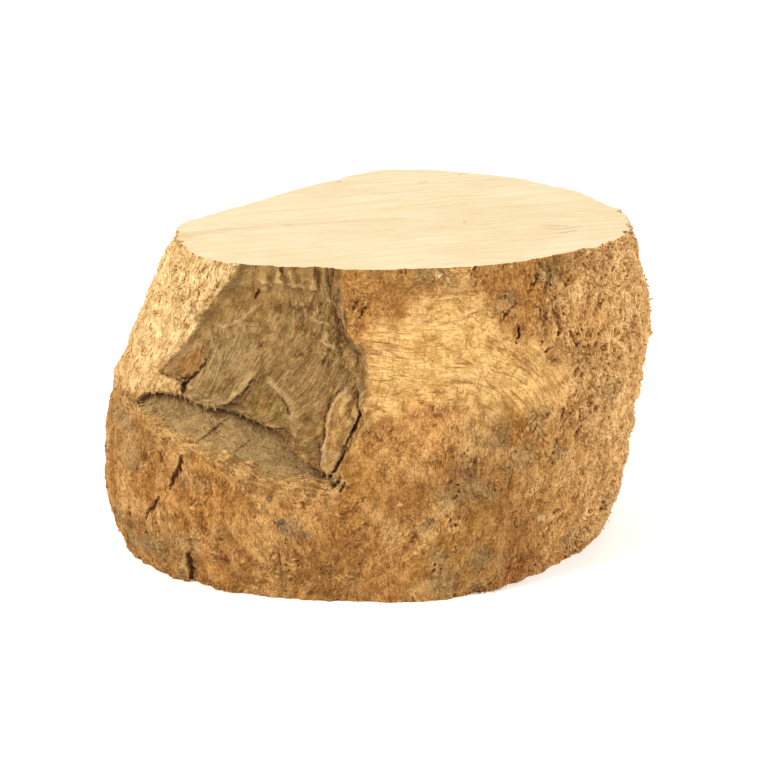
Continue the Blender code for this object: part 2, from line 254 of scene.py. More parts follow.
# The coarse facets are eased out, most where the skin is whole
eased = averaged(points, ends, passes=26, strength=0.6)
eased_torn = averaged(points, ends, passes=3, strength=0.5)
points = eased + (eased_torn - eased) * torn[:, None]
skin_mesh.vertices.foreach_set("co", points.astype(np.float32).ravel())
skin_mesh.update()
normals = points_of(skin_mesh, "normal")
x, y, z = points.T

# Which way the fibres run. Upright on most of the skin, arching over in the pale patch, along the
# notch's rim where it is torn, and leaning right on the left flank and on the split face. The last
# number of each grain vector counts along the fibre, the other two across it.
ARCH_X, ARCH_Z, ARCH_POWER = -0.005, 0.020, 4
FLANK_LEAN, SPLIT_LEAN, SPLIT_HIGH = 0.42, 0.9, 0.085
RIM_RUN, RIM_FALL = 0.89, 0.45
PALE_PATCH = (
    (-0.0055, 0.1080), (-0.0040, 0.1165), (0.0020, 0.1215), (0.0100, 0.1255), (0.0200, 0.1315),
    (0.0330, 0.1370), (0.0440, 0.1345), (0.0480, 0.1220), (0.0560, 0.1110), (0.0680, 0.1030),
    (0.0790, 0.0930), (0.0790, 0.0860), (0.0640, 0.0850), (0.0500, 0.0860), (0.0390, 0.0890),
    (0.0270, 0.0925), (0.0140, 0.0910), (0.0040, 0.0895), (-0.0010, 0.0930), (-0.0045, 0.0990),
)
wander = 0.0030 * noise_at(points, 0.010, 61) + 0.0014 * noise_at(points, 0.0035, 62)
ragged = 0.0010 * noise_at(points, 0.0050, 63) + 0.0006 * noise_at(points, 0.0019, 64)
arch = smooth_step(inside_outline(x, z, PALE_PATCH) + 2 * wander, -0.009, 0.003) * front
rim_apart = line_distance(x, z, RIM)[0]
rim_share = smooth_step(rim_apart + 0.6 * wander, np.where(ledge_in > 0, 0.0022, 0.0075), 0.0008)
rim_share *= smooth_step(split_in, 0.0, -0.002) * smooth_step(x, -0.010, -0.024) * front
rise = np.maximum(z - ARCH_Z, 0.0)
ring = (np.abs(x - ARCH_X) ** ARCH_POWER + rise ** ARCH_POWER) ** (1 / ARCH_POWER) + 1e-9
turn = np.arctan2(x - ARCH_X, rise + 1e-6)
left_lean = smooth_step(-x, 0.040, 0.080) * smooth_step(z, 0.050, 0.085) * (1 - torn)
swirl = np.column_stack([noise_at(points, 0.030, s) for s in (41, 42, 43)]) * 0.0042
across = points + swirl
across[:, 0] -= FLANK_LEAN * (z - 0.09) * left_lean
split_lean = smooth_step(split_in, -0.002, 0.004) * front
fall = z - 0.060
across[:, 0] -= SPLIT_LEAN * (fall - 0.5 * fall ** 2 / SPLIT_HIGH) * split_lean
along = z + swirl[:, 2]
grain = np.column_stack([across[:, 0], across[:, 1], along])
arch_grain = np.column_stack([ring, y, -turn * ring]) + 0.7 * swirl
by_rim = rim_share > 0
rim_grain = np.column_stack([RIM_FALL * x + RIM_RUN * z, y, RIM_RUN * x - RIM_FALL * z])
arch_grain[by_rim] = rim_grain[by_rim] + 0.9 * swirl[by_rim]
arch = np.maximum(arch, rim_share)
arched = np.flatnonzero(arch > 0)


def grained(stretch, size, seed):
    """Noise drawn out along the fibres, also where they arch."""
    value = noise_at(grain * (1, 1, stretch), size, seed)
    value[arched] *= 1 - arch[arched]
    value[arched] += arch[arched] * noise_at(arch_grain[arched] * (1, 1, stretch), size, seed)
    return value


lean = FLANK_LEAN * left_lean + SPLIT_LEAN * (1 - np.clip(fall / SPLIT_HIGH, 0, 1)) * split_lean
fibre_way = np.column_stack([lean, 0 * x, 1 + 0 * x])
arch_way = np.column_stack([rise ** 3, 0 * x, -np.sign(x - ARCH_X) * np.abs(x - ARCH_X) ** 3])
arch_way /= np.linalg.norm(arch_way, axis=1, keepdims=True) + 1e-12
fibre_way += (arch_way - fibre_way) * arch[:, None]

# The broad zones of the skin
PALE_FLANK = (
    (-0.2000, 0.1700), (-0.0500, 0.1700), (-0.0580, 0.1400), (-0.0640, 0.1340), (-0.0740, 0.1225),
    (-0.0810, 0.1100), (-0.0935, 0.0958), (-0.0863, 0.0945), (-0.0836, 0.0920), (-0.0834, 0.0858),
    (-0.0917, 0.0862), (-0.0967, 0.0850), (-0.1024, 0.0800), (-0.1120, 0.0790), (-0.2000, 0.0640),
)
STAIN = (
    (-0.0180, 0.1700), (0.0280, 0.1700), (0.0260, 0.1420), (0.0230, 0.1370), (0.0180, 0.1345),
    (0.0100, 0.1305), (0.0010, 0.1265), (-0.0050, 0.1240), (-0.0110, 0.1190), (-0.0150, 0.1220),
    (-0.0165, 0.1350),
)
MOSS = (
    (-0.0484, 0.0980), (-0.0391, 0.0860), (-0.0348, 0.0779), (-0.0400, 0.0734), (-0.0520, 0.0790),
    (-0.0529, 0.0900),
)
FLAP = (
    (-0.0094, 0.0933), (-0.0076, 0.0906), (-0.0072, 0.0851), (-0.0114, 0.0732), (-0.0166, 0.0628),
    (-0.0213, 0.0598), (-0.0240, 0.0614), (-0.0218, 0.0729), (-0.0196, 0.0863), (-0.0153, 0.0916),
)
CHUNK = (
    (-0.0945, 0.0955), (-0.0805, 0.1086), (-0.0738, 0.1110), (-0.0735, 0.1040), (-0.0747, 0.1007),
    (-0.0792, 0.0956), (-0.0815, 0.0948), (-0.0863, 0.0945),
)
GREY_FLAKE = (
    (-0.0700, 0.1120), (-0.0610, 0.1090), (-0.0590, 0.1030), (-0.0640, 0.0960), (-0.0660, 0.0860),
    (-0.0760, 0.0850), (-0.0800, 0.0900), (-0.0740, 0.1010),
)
BROWN_SHEET = (
    (-0.0530, 0.1600), (-0.0600, 0.1400), (-0.0673, 0.1314), (-0.0746, 0.1206), (-0.0813, 0.1100),
    (-0.0760, 0.1094), (-0.0697, 0.1175), (-0.0618, 0.1213), (-0.0549, 0.1240), (-0.0490, 0.1209),
    (-0.0398, 0.1308), (-0.0367, 0.1600),
)


def zone_share(outline, soft, ragged_by):
    """How far each point lies in a zone of the front, whose edge is soft and ragged."""
    return smooth_step(inside_outline(x, z, outline) + ragged_by, -soft, soft) * front


split_share = smooth_step(split_in + ragged, -0.0010, 0.0010) * front
patch = zone_share(PALE_PATCH, 0.0075, 2.2 * wander)
round_side = smooth_step(y, -0.045, 0.005)
side_drift = noise_at(points, 0.030, 75) + 0.5 * noise_at(points, 0.011, 76)
flank_in = inside_outline(x, z, PALE_FLANK) + 0.7 * wander + 0.014 * round_side * side_drift
left_flank = smooth_step(flank_in, -0.0015 - 0.016 * round_side, 0.0020 + 0.014 * round_side)
left_flank *= smooth_step(y + 0.026 * side_drift, 0.085, -0.010) * (1 - split_share)
left_flank *= 0.54 + 0.46 * smooth_step(z, 0.085, 0.120)
right_flank = smooth_step(x + 4 * wander, 0.062, 0.112)
stain = zone_share(STAIN, 0.0040, wander) * (1 - split_share)
moss = zone_share(MOSS, 0.0045, 1.5 * wander) * split_share
moss *= smooth_step(noise_at(points, 0.0040, 66), -0.5, 0.6)
flap = zone_share(FLAP, 0.0008, ragged)
chunk = zone_share(CHUNK, 0.0012, ragged) * split_share
grey_flake = zone_share(GREY_FLAKE, 0.0050, 1.6 * wander)
brown_sheet = zone_share(BROWN_SHEET, 0.0010, ragged) * split_share
ledge_share = smooth_step(ledge_in + 0.5 * ragged, -0.0008, 0.0010) * front * (1 - split_share)
lip_apart = line_distance(x, z, LIP)[0]
lip_share = smooth_step(lip_apart + ragged, 0.0034, 0.0006) * (1 - ledge_share) * front
lip_share *= z > np.interp(x, *np.array(LIP).T)
# A painted shadow under the lip, on the upper part of the ledge, strongest towards the left
lip_shadow = smooth_step(lip_apart, 0.0042, 0.0010) * ledge_share
lip_shadow = lip_shadow * (0.4 + 0.6 * smooth_step(x, -0.034, -0.056))

# Spots of grey, brown and pale wood, dark knots with rings, and chips of pale wood, each as x, z
# and radius. Those of the back are in the same kind, as the picture doesn't show it.
GREY_SPOTS = (
    (0.0203, 0.1412, 0.003), (0.0330, 0.1399, 0.004), (0.0419, 0.0667, 0.007), (0.0443, 0.0520, 0.006),
    (0.0617, 0.0630, 0.006), (0.0504, 0.0819, 0.004), (0.0527, 0.0716, 0.004), (0.0362, 0.0675, 0.004),
    (0.1031, 0.0834, 0.004), (0.1076, 0.0763, 0.003), (0.0811, 0.1263, 0.003), (-0.0997, 0.1086, 0.0025),
    (-0.1113, 0.0675, 0.006), (-0.1063, 0.0142, 0.008), (-0.0941, 0.0119, 0.006), (-0.0848, 0.0095, 0.005),
    (0.0317, 0.0120, 0.009), (0.0451, 0.0044, 0.006), (0.0448, 0.0177, 0.005), (0.0312, 0.0480, 0.005),
    (0.0721, 0.1379, 0.004), (-0.1090, 0.0560, 0.005),
)
BROWN_SPOTS = (
    (-0.0246, 0.0301, 0.016), (-0.0116, 0.0301, 0.012), (0.0099, 0.0485, 0.009), (0.0401, 0.0528, 0.010),
    (0.0530, 0.0526, 0.010), (0.0616, 0.0210, 0.009), (0.0444, 0.0159, 0.011), (0.0520, 0.1350, 0.008),
    (-0.0860, 0.0520, 0.007), (-0.0640, 0.0200, 0.008), (-0.1085, 0.0190, 0.006), (0.0600, 0.0078, 0.006),
)
PALE_SPOTS = (
    (0.0142, 0.0783, 0.013), (0.0877, 0.0378, 0.015), (0.0800, 0.0560, 0.011), (-0.0560, 0.0330, 0.010),
    (-0.0300, 0.0430, 0.007), (0.0200, 0.0330, 0.009), (0.0940, 0.1120, 0.010), (0.0020, 0.0640, 0.008),
)
KNOTS = (
    (-0.0410, 0.0392, 0.0017), (-0.0393, 0.0351, 0.0015), (-0.0461, 0.0493, 0.0013),
    (-0.0493, 0.0154, 0.0012), (-0.0308, 0.0344, 0.0017), (-0.0217, 0.0666, 0.0017),
)
BACK_BROWN_SPOTS = (
    (0.0100, 0.1000, 0.016), (-0.0500, 0.0600, 0.015), (0.0650, 0.0400, 0.014), (-0.0150, 0.0250, 0.012),
)
BACK_PALE_SPOTS = (
    (-0.0300, 0.1050, 0.016), (0.0350, 0.0650, 0.017), (-0.0700, 0.0300, 0.013), (0.0750, 0.0950, 0.014),
)
BACK_GREY_SPOTS = (
    (0.0000, 0.0600, 0.010), (0.0500, 0.0200, 0.012), (-0.0650, 0.0850, 0.009), (0.0550, 0.1250, 0.008),
)
BACK_KNOTS = (
    (0.0150, 0.0720, 0.0030), (-0.0380, 0.0480, 0.0024), (0.0600, 0.0860, 0.0026), (-0.0080, 0.1180, 0.0020),
)
PALE_CHIPS = (
    (0.0258, 0.1426, 0.0014), (0.0722, 0.0299, 0.0016), (0.0858, 0.0903, 0.0012), (0.0098, 0.0477, 0.0010),
)


def spots_share(front_spots, back_spots, ragged_by, soft):
    """How far each point lies in one of the round spots, whose edges are soft and ragged."""
    total = np.zeros(len(x))
    for spots, side in ((front_spots, front), (back_spots, back)):
        share = np.zeros(len(x))
        for spot_x, spot_z, radius in spots:
            apart = np.hypot(x - spot_x, z - spot_z) / radius
            share = np.maximum(share, smooth_step(apart + ragged_by, 1 + soft, 1 - soft))
        total += share * side
    return total


grey = spots_share(GREY_SPOTS, BACK_GREY_SPOTS, 260 * wander, 0.9)
grey = np.maximum(grey, 0.8 * smooth_step(noise_at(points, 0.016, 65) + 90 * wander, 0.60, 0.95))
grey *= (1 - split_share) * (1 - 0.9 * left_flank) * (1 - 0.85 * patch)
brown = spots_share(BROWN_SPOTS, BACK_BROWN_SPOTS, 150 * wander, 0.8)
brown *= (1 - split_share) * (1 - patch)
pale = spots_share(PALE_SPOTS, BACK_PALE_SPOTS, 150 * wander, 0.8)
pale *= 1 - split_share
knot = spots_share(KNOTS, BACK_KNOTS, 160 * ragged, 0.45)
chip = spots_share(PALE_CHIPS, (), 260 * ragged, 0.35)

# Open cracks, the slit and the fold, as lines with half their width and their depth. Up to the
# dark half width a crack gets painted shade right across, and a wider one gets less, as its own depth shades
# it.
DARK_HALF_WIDTH = 0.00045
CRACKS = (
    (((-0.0843, 0.0640), (-0.0846, 0.0605), (-0.0873, 0.0545), (-0.0896, 0.0470)), 0.0011, 0.0022),
    (((-0.0945, 0.0425), (-0.0962, 0.0390), (-0.1005, 0.0330), (-0.1030, 0.0280)), 0.0008, 0.0014),
    (((-0.0085, 0.0939), (-0.0080, 0.0901), (-0.0070, 0.0855), (-0.0106, 0.0785), (-0.0140, 0.0690),
      (-0.0188, 0.0594)), 0.0004, 0.0014),
    (((-0.0639, 0.0784), (-0.0685, 0.0755), (-0.0738, 0.0726), (-0.0784, 0.0706)), 0.00022, 0.0005),
    (((-0.0546, 0.0707), (-0.0575, 0.0687), (-0.0603, 0.0674)), 0.00020, 0.0003),
    (((-0.0822, 0.0170), (-0.0826, 0.0110), (-0.0822, 0.0060), (-0.0824, -0.0120)), 0.0012, 0.0024),
    (((0.0605, 0.1190), (0.0613, 0.1151), (0.0599, 0.1109)), 0.0003, 0.0014),
    (((-0.0500, 0.1350), (-0.0508, 0.1335), (-0.0523, 0.1307)), 0.00035, 0.0010),
    (((-0.0400, 0.1450), (-0.0408, 0.1378), (-0.0437, 0.1363)), 0.0004, 0.0008),
    (((-0.0734, 0.1039), (-0.0747, 0.1007), (-0.0792, 0.0956), (-0.0835, 0.0913), (-0.0840, 0.0870)),
     0.0005, 0.0012),
    (((-0.0527, 0.0965), (-0.0554, 0.0919), (-0.0607, 0.0869), (-0.0660, 0.0830)), 0.00035, 0.0007),
    (((-0.0467, 0.0940), (-0.0416, 0.0891), (-0.0386, 0.0847), (-0.0374, 0.0803)), 0.00030, 0.0005),
    (((-0.0940, 0.0950), (-0.0863, 0.0940), (-0.0825, 0.0946)), 0.00012, 0.0004),
    (((-0.0165, 0.0930), (-0.0209, 0.0863), (-0.0231, 0.0729), (-0.0252, 0.0614), (-0.0228, 0.0580)),
     0.00018, 0.0004),
    (((-0.0188, 0.0594), (-0.0205, 0.0575)), 0.0006, 0.0020),
    (((-0.0158, 0.0585), (-0.0170, 0.0560), (-0.0188, 0.0540)), 0.0006, 0.0020),
    (((-0.0138, 0.0565), (-0.0155, 0.0530)), 0.0005, 0.0018),
    (((-0.0215, 0.0600), (-0.0228, 0.0570)), 0.0004, 0.0015),
)
BACK_CRACKS = (
    (((0.0300, 0.0150), (0.0330, 0.0290), (0.0290, 0.0420), (0.0310, 0.0540)), 0.0006, 0.0018),
    (((-0.0450, 0.1000), (-0.0420, 0.0880), (-0.0460, 0.0790)), 0.0005, 0.0016),
    (((0.0050, 0.1200), (0.0080, 0.1090), (0.0060, 0.1010)), 0.0004, 0.0012),
    (((-0.0120, -0.0100), (-0.0100, 0.0110), (-0.0140, 0.0220)), 0.0010, 0.0022),
)
crack_shade, crack_depth = np.zeros(len(x)), np.zeros(len(x))
crack_ragged = 0.00055 * noise_at(points, 0.0024, 67) + 0.00030 * noise_at(points, 0.0012, 68)
crack_width = 0.75 + 0.45 * noise_at(points, 0.0045, 69)
for line, half_width, depth, side in [(*c, front) for c in CRACKS] + [(*c, back) for c in BACK_CRACKS]:
    apart, share = line_distance(x + crack_ragged + 0.4 * ragged, z, line)
    narrow = (0.45 + 0.55 * np.sin(np.pi * np.clip(share, 0.03, 0.97))) * crack_width
    gaping = smooth_step(apart, 1.7 * half_width * narrow + 0.0003, 0.20 * half_width * narrow) * side
    crack_shade = np.maximum(crack_shade, gaping * min(1.0, DARK_HALF_WIDTH / half_width))
    crack_depth = np.maximum(crack_depth, gaping * depth)

# Thin steps on the split face: the wood above each line stands out by its last number, and a
# painted highlight runs along each step's edge
STEPS = (
    (((-0.0505, 0.1388), (-0.0437, 0.1363), (-0.0400, 0.1372)), 0.0007),
    (((-0.0385, 0.1372), (-0.0326, 0.1365), (-0.0254, 0.1349)), 0.0006),
    (((-0.0285, 0.1230), (-0.0178, 0.1199)), 0.0006),
    (((-0.0220, 0.1309), (-0.0173, 0.1292)), 0.0006),
    (((-0.0242, 0.1135), (-0.0166, 0.1101)), 0.0006),
    (((-0.0700, 0.1184), (-0.0649, 0.1177), (-0.0584, 0.1208), (-0.0549, 0.1240), (-0.0489, 0.1277)),
     0.0005),
)
step_out, edge_highlight = np.zeros(len(x)), np.zeros(len(x))
for line, step_height in STEPS:
    line_x, line_z = np.array(line).T
    above = z - np.interp(x, line_x, line_z) + 0.7 * ragged
    reach = smooth_step(x, line_x[0] - 0.001, line_x[0] + 0.002)
    reach *= smooth_step(x, line_x[-1] + 0.0006, line_x[-1] - 0.0003) * front
    step_out += step_height * reach * smooth_step(above, -0.0005, 0.0003) * smooth_step(above, 0.010, 0.001)
    edge_highlight = np.maximum(edge_highlight, reach * smooth_step(np.abs(above - 0.0003), 0.0008, 0.0001))
# Painted highlights along the flap's left edge and along the lit edges of the flakes and the chunk
FLAP_EDGE = (
    (-0.0135, 0.0938), (-0.0178, 0.0890), (-0.0202, 0.0805), (-0.0222, 0.0705), (-0.0238, 0.0620),
)
flap_apart = line_distance(x + 0.6 * ragged, z, FLAP_EDGE)[0]
edge_highlight = np.maximum(edge_highlight, 1.5 * smooth_step(flap_apart, 0.0013, 0.0003) * front)
LIT_EDGES = (
    ((-0.0545, 0.0975), (-0.0572, 0.0922), (-0.0620, 0.0878), (-0.0670, 0.0845), (-0.0740, 0.0852)),
    ((-0.0455, 0.0955), (-0.0404, 0.0900), (-0.0374, 0.0855), (-0.0362, 0.0805)),
    ((-0.0905, 0.0965), (-0.0815, 0.1075), (-0.0760, 0.1100)),
)
for line in LIT_EDGES:
    edge_apart = line_distance(x + ragged, z, line)[0]
    edge_highlight = np.maximum(edge_highlight, 0.8 * smooth_step(edge_apart + 0.3 * wander, 0.0020, 0.0003) * front)

# Relief of the skin, cut in proportion to how rough each place is. Heights are in metres, and
# the spacings are those between the middles of neighbouring knobs and pits.
KNOB_HIGH, COARSE_HIGH, TUFT_HIGH, GRIT_HIGH = 0.00100, 0.00095, 0.00022, 0.00028
ROLL_HIGH, SPIKE_HIGH, PIT_DEEP, PIT_LIP_HIGH = 0.00130, 0.0020, 0.00085, 0.00026
KNOB_APART, PIT_APART, PIT_REACH = 0.0052, 0.0037, 0.34
rough = (0.74 + 0.80 * right_flank + 0.30 * left_flank) * (1 - 0.80 * patch) * (1 - torn)
rough *= 0.90 + 0.55 * noise_at(points, 0.018, 45)
rough = np.clip(rough, 0.06, None)
knob_near, knob_next = cells_at(grain * (1, 1, 0.60) + 6 * ragged[:, None], KNOB_APART, 46)
knobs = smooth_step(knob_next - knob_near, 0.0, 0.7) - 0.5
pit_near = cells_at(points * (1, 1, 0.8) + 2 * ragged[:, None], PIT_APART, 47)[0]
pitted = 0.8 * noise_at(points, 0.013, 71) + 0.30 + 1.2 * right_flank
pitted = pitted + 0.40 * smooth_step(x, 0.020, 0.055) * front
pitted = smooth_step(pitted, 0.55, 1.15) * (1 - patch) * (1 - torn)
pits = smooth_step(pit_near, PIT_REACH, 0.12) * pitted
pit_lips = smooth_step(np.abs(pit_near - PIT_REACH), 0.14, 0.02) * pitted
grit = grained(0.62, 0.0017, 48)
tufts = grained(0.40, 0.0026, 49)
coarse = grained(0.60, 0.0060, 50)
spikes = np.maximum(noise_at(points, 0.0030, 51) - 0.85, 0) * (0.3 + right_flank)
relief = rough * (KNOB_HIGH * knobs + COARSE_HIGH * coarse + TUFT_HIGH * tufts + GRIT_HIGH * grit)
rolled = smooth_step(-x, 0.030, 0.058) * smooth_step(z, 0.062, 0.048) * (1 - torn) * (1 - rim_share)
relief += ROLL_HIGH * rolled * noise_at(grain * (1, 1, 0.42), 0.0062, 74)
relief += SPIKE_HIGH * spikes * (1 - torn) - PIT_DEEP * pits + PIT_LIP_HIGH * pit_lips

# Thin grooves along the fibres, where a slow wave of noise changes sign
fibre_wave = grained(0.085, 0.0027, 52)
creases = smooth_step(np.abs(fibre_wave), 0.20, 0.02) * smooth_step(noise_at(points, 0.006, 72), -0.35, 0.35)
wrinkle_wave = grained(0.14, 0.0030, 53)
wrinkles = smooth_step(np.abs(wrinkle_wave), 0.24, 0.02) * smooth_step(noise_at(points, 0.008, 73), -0.5, 0.3)
patch_crease = 0.45 * creases * patch * smooth_step(arch, 0.75, 1.0)
split_crease = 0.5 * wrinkles * split_share * (1 - 0.6 * brown_sheet)
skin_crease = 0.5 * creases * (1 - torn) * (1 - patch)
crease = np.maximum(np.maximum(patch_crease, split_crease), skin_crease)
relief += patch * (0.00012 * grit - 0.00009 * creases) + 0.00008 * grit * ledge_share

lumps = grained(0.55, 0.0065, 54)
calm = 1 - 0.65 * brown_sheet - 0.35 * grey_flake
split_relief = 0.00030 * wrinkle_wave - 0.00020 * wrinkles + 0.00048 * lumps + 0.00010 * grit
relief += split_share * calm * split_relief
upright = smooth_step(x, -0.040, -0.030) * smooth_step(z, 0.096, 0.108) * split_share
relief += upright * 0.00042 * noise_at(grain * (1, 1, 0.16) + 1.2 * wander[:, None], 0.0020, 55)
relief += 0.00030 * brown_sheet + 0.00060 * flap * split_share + step_out
relief += ledge_share * (0.00026 * noise_at(points, 0.0060, 56) + 0.00008 * noise_at(points, 0.0018, 57))
torn_fibre = grained(0.30, 0.0017, 58)
fringe = np.maximum(rim_share, lip_share)
relief += fringe * (0.00050 * torn_fibre + 0.00040 * noise_at(points, 0.0045, 59) + 0.0003)

# Each knot has rings round it. Then the whole relief is laid on along the skin's normals, and
# where the skin stays under its own average by a hollow unit, it counts as fully hollow.
RING_WAVE = 3000
HOLLOW_UNIT = 0.0004
ring_wave = np.zeros(len(x))
for knot_x, knot_z, radius, side in [(*k, front) for k in KNOTS] + [(*k, back) for k in BACK_KNOTS]:
    apart = np.hypot(x - knot_x, z - knot_z)
    ring_wave += np.cos(apart * RING_WAVE) * smooth_step(apart, 2.6 * radius, 0.4 * radius) * side
relief += 0.00024 * ring_wave + 0.00020 * chip - crack_depth

points = points + normals * relief[:, None]
# The hollow value sets how dark the hollows are painted, partly as dirt and partly as shade, and the painted
# highlight on the crests
hollow = averaged(points, ends, passes=10, strength=0.6)
hollow = np.einsum("ij,ij->i", hollow - points, normals) / HOLLOW_UNIT
skin_mesh.vertices.foreach_set("co", points.astype(np.float32).ravel())
skin_mesh.update()


def keep_on(mesh, name, values):
    """Stores a value, or three of them, at every point of the mesh, for its material."""
    if values.ndim == 1:
        mesh.attributes.new(name, "FLOAT", "POINT").data.foreach_set("value", values.astype(np.float32))
    else:
        kept = mesh.attributes.new(name, "FLOAT_VECTOR", "POINT")
        kept.data.foreach_set("vector", values.astype(np.float32).ravel())


zones = {
    "grain": grain, "fibre_way": fibre_way, "hollow": hollow, "split": split_share, "ledge": ledge_share,
    "rim": rim_share, "patch": patch, "left_flank": left_flank, "right_flank": right_flank,
    "stain": stain, "moss": moss, "flap": flap, "chunk": chunk, "grey_flake": grey_flake,
    "brown_sheet": brown_sheet, "grey": grey, "knot": knot, "chip": chip, "crack_shade": crack_shade, "pit": pits,
    "crease": crease, "arch_grain": arch_grain, "arch": arch, "brown": brown, "pale": pale,
    "edge_highlight": edge_highlight, "lip": lip_share, "lip_shadow": lip_shadow, "red": 0 * x,
}
for name, values in zones.items():
    keep_on(skin_mesh, name, values)

# Fewer triangles, most of them taken from the back
MOST_TRIANGLES = 182000
plain = skin.vertex_groups.new(name="plain")
for level, low, high in ((1.0, 0.02, 1.0), (0.55, -1.0, 0.02)):
    plain.add(np.flatnonzero((y > low) & (y <= high)).tolist(), level, "REPLACE")
fewer = skin.modifiers.new("fewer", "DECIMATE")
fewer.ratio = MOST_TRIANGLES / (2 * len(skin_mesh.polygons))
fewer.vertex_group = "plain"
skin.data = bpy.data.meshes.new_from_object(skin.evaluated_get(bpy.context.evaluated_depsgraph_get()))
skin.modifiers.clear()
skin.vertex_groups.clear()
skin_mesh = skin.data
skin_mesh.name = "burl_skin"

# The two saw cuts, made after the relief so that their edges are crisp
wood = bpy.data.materials.new("weathered_root")
end_wood = bpy.data.materials.new("sawn_end")
skin_mesh.materials.append(wood)
skin_mesh.materials.append(end_wood)
shape = bmesh.new()
shape.from_mesh(skin_mesh)
for level, side in ((saw_z, 1), (floor_z, -1)):
    every = shape.verts[:] + shape.edges[:] + shape.faces[:]
    cut = bmesh.ops.bisect_plane(shape, geom=every, plane_co=(0, 0, level), plane_no=(0, 0, side),
                                 clear_outer=True, dist=0.00001)
    rim_edges = [e for e in cut["geom_cut"] if isinstance(e, bmesh.types.BMEdge)]
    lid = bmesh.ops.holes_fill(shape, edges=rim_edges)["faces"]
    for edge in rim_edges:
        edge.smooth = False
    for face in bmesh.ops.triangulate(shape, faces=lid)["faces"]:
        face.smooth = False
        face.material_index = 1
shape.to_mesh(skin_mesh)
shape.free()


# The weathered root wood. Fibres run through it in fine streaks, with brown, orange and grey
# blotches, and pale where wood was torn open. Its hollows are darker, partly as dirt and partly as
# painted shade, painted shade lies in its pits, creases and cracks and under the lip, and a painted
# highlight makes its ridges and some edges paler.


def paint(code):
    """A colour written as on a paint card, in the numbers that a shader takes."""
    parts = [int(code[k:k + 2], 16) / 255 for k in (0, 2, 4)]
    return (*(c / 12.92 if c <= 0.04045 else ((c + 0.055) / 1.055) ** 2.4 for c in parts), 1)


def feed(tree, socket, value):
    if isinstance(value, bpy.types.NodeSocket):
        tree.links.new(value, socket)
    else:
        socket.default_value = value


def put(tree, kind, inputs=None, **settings):
    made = tree.nodes.new("ShaderNode" + kind)
    for name, value in settings.items():
        setattr(made, name, value)
    for name, value in (inputs or {}).items():
        feed(tree, made.inputs[name], value)
    return made


def maths(tree, operation, first, second=0.0):
    return put(tree, "Math", {0: first, 1: second}, operation=operation).outputs[0]


def spread(tree, value, low, high, to_low=0.0, to_high=1.0):
    """The value's run from low to high, eased, and stretched to run from to_low to to_high."""
    sockets = {"Value": value, "From Min": low, "From Max": high, "To Min": to_low, "To Max": to_high}
    return put(tree, "MapRange", sockets, interpolation_type="SMOOTHSTEP").outputs[0]


def mixed(tree, share, first, second, blend="MIX"):
    made = put(tree, "Mix", {0: share, 6: first, 7: second}, data_type="RGBA", blend_type=blend)
    return made.outputs[2]


def cloud(tree, where, size, detail=2.0):
    """Soft blotches of about this size in metres, from 0 to 1."""
    sockets = {"Vector": where, "Scale": 1 / size, "Detail": detail, "Roughness": 0.55}
    return put(tree, "TexNoise", sockets).outputs["Fac"]


def times(tree, first, *others):
    for other in others:
        first = maths(tree, "MULTIPLY", first, other)
    return first


def weighed(tree, *parts):
    """The sum of some values, each taken at its own weight."""
    total = 0.0
    for value, weight in parts:
        total = maths(tree, "ADD", total, maths(tree, "MULTIPLY", value, weight))
    return total


def zone(tree, name, strength=1.0):
    """How far a place lies in one of the skin's zones, taken at this strength."""
    share = put(tree, "Attribute", attribute_name=name).outputs["Fac"]
    return share if strength == 1.0 else times(tree, share, strength)


def shader_group(name, inputs, output):
    """A new shader group with these inputs, and one number that it puts out."""
    group = bpy.data.node_groups.new(name, "ShaderNodeTree")
    for socket, kind in inputs.items():
        group.interface.new_socket(socket, in_out="INPUT", socket_type="NodeSocket" + kind)
    group.interface.new_socket(output, in_out="OUTPUT", socket_type="NodeSocketFloat")
    return group, group.nodes.new("NodeGroupInput"), group.nodes.new("NodeGroupOutput")


def drawn_out(group, ins, across, detail, roughness, bend):
    """Noise drawn out along the fibres, as thick and as long as the group's inputs say."""
    fine = maths(group, "DIVIDE", 1.0, ins.outputs[across])
    slow = maths(group, "DIVIDE", 1.0, ins.outputs["Long"])
    scale = put(group, "CombineXYZ", {"X": fine, "Y": fine, "Z": slow}).outputs[0]
    place = put(group, "VectorMath", {0: ins.outputs["Grain"], 1: scale}, operation="MULTIPLY").outputs[0]
    sockets = {"Vector": place, "Scale": 1.0, "Detail": detail, "Roughness": roughness, "Distortion": bend}
    return put(group, "TexNoise", sockets).outputs["Fac"]


# Streaks along the fibres, from 0 to 1: Thick across them and Long along them, in metres
sockets = {"Grain": "Vector", "Thick": "Float", "Long": "Float"}
fibre_streaks, ins, outs = shader_group("fibre_streaks", sockets, "Streak")
streak = drawn_out(fibre_streaks, ins, "Thick", detail=2.5, roughness=0.6, bend=0.35)
feed(fibre_streaks, outs.inputs["Streak"], spread(fibre_streaks, streak, 0.28, 0.72))

# Thin dark lines along the fibres, 1 on a line and 0 beside it: Apart from each other and Long,
# in metres, and Width from 0 to 1
sockets = {"Grain": "Vector", "Apart": "Float", "Long": "Float", "Width": "Float"}
grain_lines, ins, outs = shader_group("grain_lines", sockets, "Line")
wave = drawn_out(grain_lines, ins, "Apart", detail=1.5, roughness=0.5, bend=0.2)
off_middle = maths(grain_lines, "ABSOLUTE", maths(grain_lines, "SUBTRACT", wave, 0.5))
line = spread(grain_lines, off_middle, ins.outputs["Width"], 0.0)
feed(grain_lines, outs.inputs["Line"], line)


def streaks(tree, grain, thick, long):
    sockets = {"Grain": grain, "Thick": thick, "Long": long}
    return put(tree, "Group", sockets, node_tree=fibre_streaks).outputs["Streak"]


def lines(tree, grain, apart, long, width):
    sockets = {"Grain": grain, "Apart": apart, "Long": long, "Width": width}
    return put(tree, "Group", sockets, node_tree=grain_lines).outputs["Line"]


